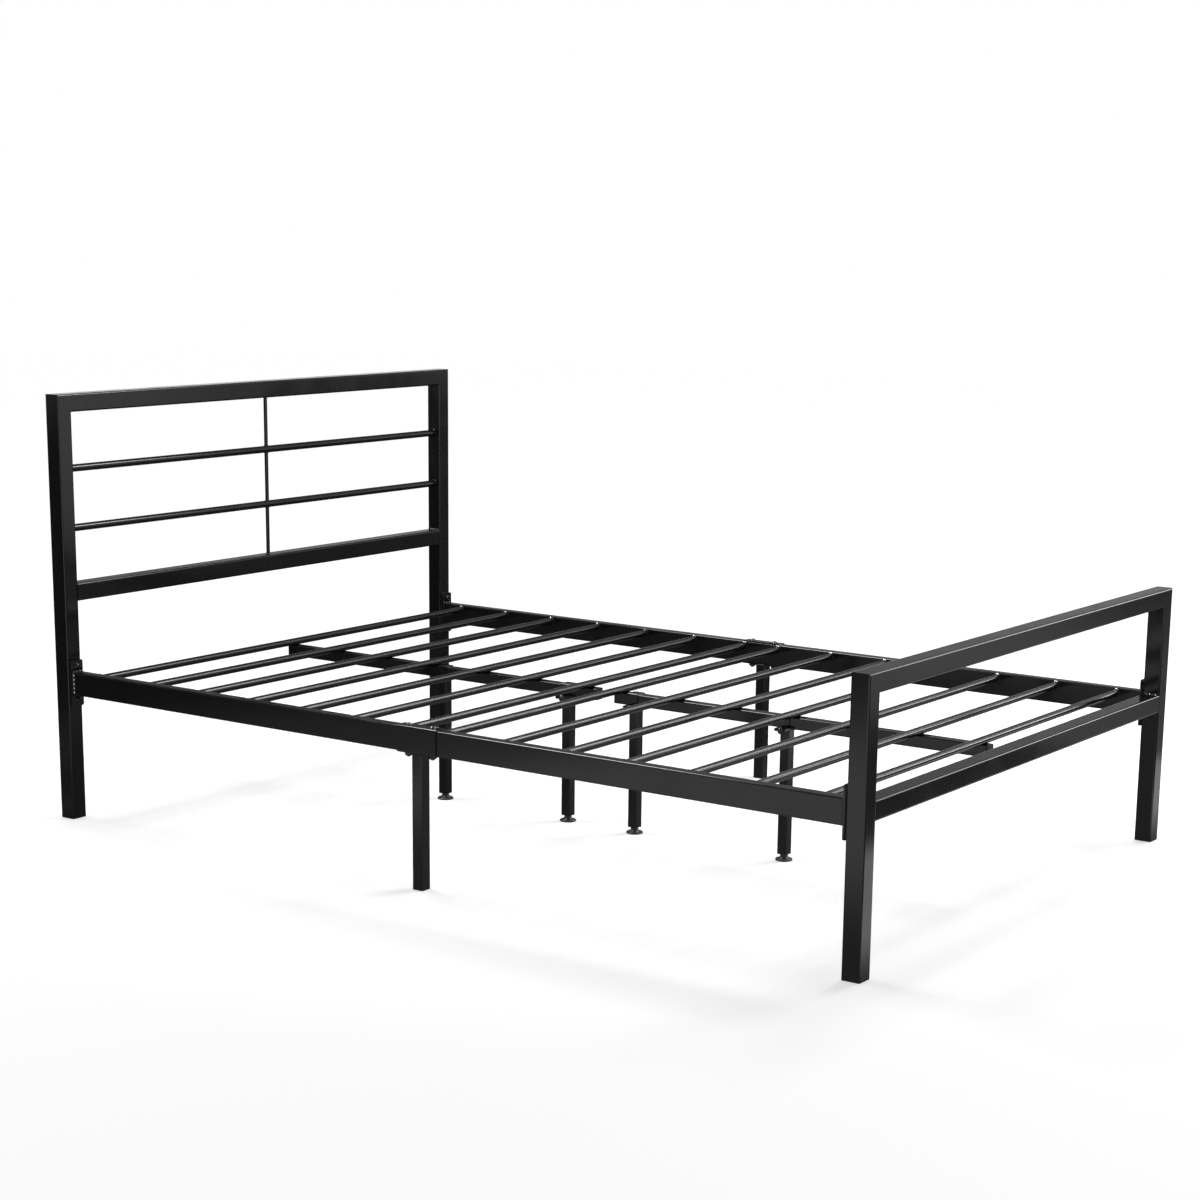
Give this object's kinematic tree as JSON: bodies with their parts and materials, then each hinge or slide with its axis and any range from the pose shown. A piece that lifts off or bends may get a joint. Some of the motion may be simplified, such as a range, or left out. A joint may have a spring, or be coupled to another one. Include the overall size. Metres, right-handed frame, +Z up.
{
  "type": "metal bed frame",
  "caption": "Bolt-together steel bed frame: mitred square-tube head and foot ends, two-part side rails with round slats, and a centre rail on clamped legs with screw glides.",
  "frame": {"origin": "on the floor, under the middle of the bed", "axes": "+Y along the bed towards the head end, +X across the bed, +Z up"},
  "size_m": [1.3, 2, 0.915],
  "materials": {
    "black_powder_coat": "satin black powder coat",
    "black_fasteners": "black oxide with a light sheen",
    "zinc_steel": "zinc plated screw thread",
    "rubber_pad": "matt black rubber",
    "black_plug_plastic": "moulded, slight sheen",
    "black_glide_plastic": "glossy moulded plastic"
  },
  "bodies": {
    "frame": {"head_post_left": "black_powder_coat", "head_post_right": "black_powder_coat", "head_top_rail": "black_powder_coat", "head_lower_rail": "black_powder_coat", "head_rod_upper": "black_powder_coat", "head_rod_lower": "black_powder_coat", "head_upright": "black_powder_coat", "foot_post_left": "black_powder_coat", "foot_post_right": "black_powder_coat", "foot_top_rail": "black_powder_coat", "foot_lower_rail": "black_powder_coat", "side_rail_head_left": "black_powder_coat", "side_rail_head_right": "black_powder_coat", "side_rail_foot_left": "black_powder_coat", "side_rail_foot_right": "black_powder_coat", "corner_plate_head_left": "black_powder_coat", "corner_plate_head_right": "black_powder_coat", "corner_plate_foot_left": "black_powder_coat", "corner_plate_foot_right": "black_powder_coat", "corner_pad_head_left": "rubber_pad", "corner_pad_head_right": "rubber_pad", "corner_pad_foot_left": "rubber_pad", "corner_pad_foot_right": "rubber_pad", "corner_bolts": "black_fasteners", "corner_washers": "black_fasteners", "corner_weld_nuts": "black_fasteners", "joint_bracket_left": "black_powder_coat", "joint_bracket_right": "black_powder_coat", "mid_leg_left": "black_powder_coat", "mid_leg_right": "black_powder_coat", "joint_bolts": "black_fasteners", "joint_nuts": "black_fasteners", "slats_head_half": "black_powder_coat", "slats_foot_half": "black_powder_coat", "centre_rail_head": "black_powder_coat", "centre_rail_foot": "black_powder_coat", "centre_rail_plugs": "black_plug_plastic", "saddle_strap_1": "black_powder_coat", "saddle_strap_2": "black_powder_coat", "saddle_strap_3": "black_powder_coat", "saddle_strap_4": "black_powder_coat", "centre_leg_1": "black_powder_coat", "centre_leg_2": "black_powder_coat", "centre_leg_3": "black_powder_coat", "centre_leg_4": "black_powder_coat", "clamp_bolts": "black_fasteners", "clamp_nuts": "black_fasteners", "leg_bushings": "black_plug_plastic"},
    "glide_screw_1": {"glide_stem_1": "zinc_steel"},
    "glide_1": {"glide_foot_1": "black_glide_plastic"},
    "glide_screw_2": {"glide_stem_2": "zinc_steel"},
    "glide_2": {"glide_foot_2": "black_glide_plastic"},
    "glide_screw_3": {"glide_stem_3": "zinc_steel"},
    "glide_3": {"glide_foot_3": "black_glide_plastic"},
    "glide_screw_4": {"glide_stem_4": "zinc_steel"},
    "glide_4": {"glide_foot_4": "black_glide_plastic"}
  },
  "joints": [
    {"name": "glide_1_travel", "type": "slide", "parent": "frame", "child": "glide_screw_1", "axis": [0, 0, 1], "range_m": [-0.012, 0.006]},
    {"name": "glide_1_turn", "type": "hinge", "parent": "glide_screw_1", "child": "glide_1", "pos_m": [0, 0.45, 0], "axis": [0, 0, 1], "range_deg": [-3456, 1728]},
    {"name": "glide_2_travel", "type": "slide", "parent": "frame", "child": "glide_screw_2", "axis": [0, 0, 1], "range_m": [-0.012, 0.006]},
    {"name": "glide_2_turn", "type": "hinge", "parent": "glide_screw_2", "child": "glide_2", "pos_m": [0, 0.105, 0], "axis": [0, 0, 1], "range_deg": [-3456, 1728]},
    {"name": "glide_3_travel", "type": "slide", "parent": "frame", "child": "glide_screw_3", "axis": [0, 0, 1], "range_m": [-0.012, 0.006]},
    {"name": "glide_3_turn", "type": "hinge", "parent": "glide_screw_3", "child": "glide_3", "pos_m": [0, -0.073, 0], "axis": [0, 0, 1], "range_deg": [-3456, 1728]},
    {"name": "glide_4_travel", "type": "slide", "parent": "frame", "child": "glide_screw_4", "axis": [0, 0, 1], "range_m": [-0.012, 0.006]},
    {"name": "glide_4_turn", "type": "hinge", "parent": "glide_screw_4", "child": "glide_4", "pos_m": [0, -0.45, 0], "axis": [0, 0, 1], "range_deg": [-3456, 1728]}
  ],
  "couplings": [
    {"joint": "glide_1_travel", "follows": "glide_1_turn", "m_per_rad": 0.00019894},
    {"joint": "glide_2_travel", "follows": "glide_2_turn", "m_per_rad": 0.00019894},
    {"joint": "glide_3_travel", "follows": "glide_3_turn", "m_per_rad": 0.00019894},
    {"joint": "glide_4_travel", "follows": "glide_4_turn", "m_per_rad": 0.00019894}
  ]
}
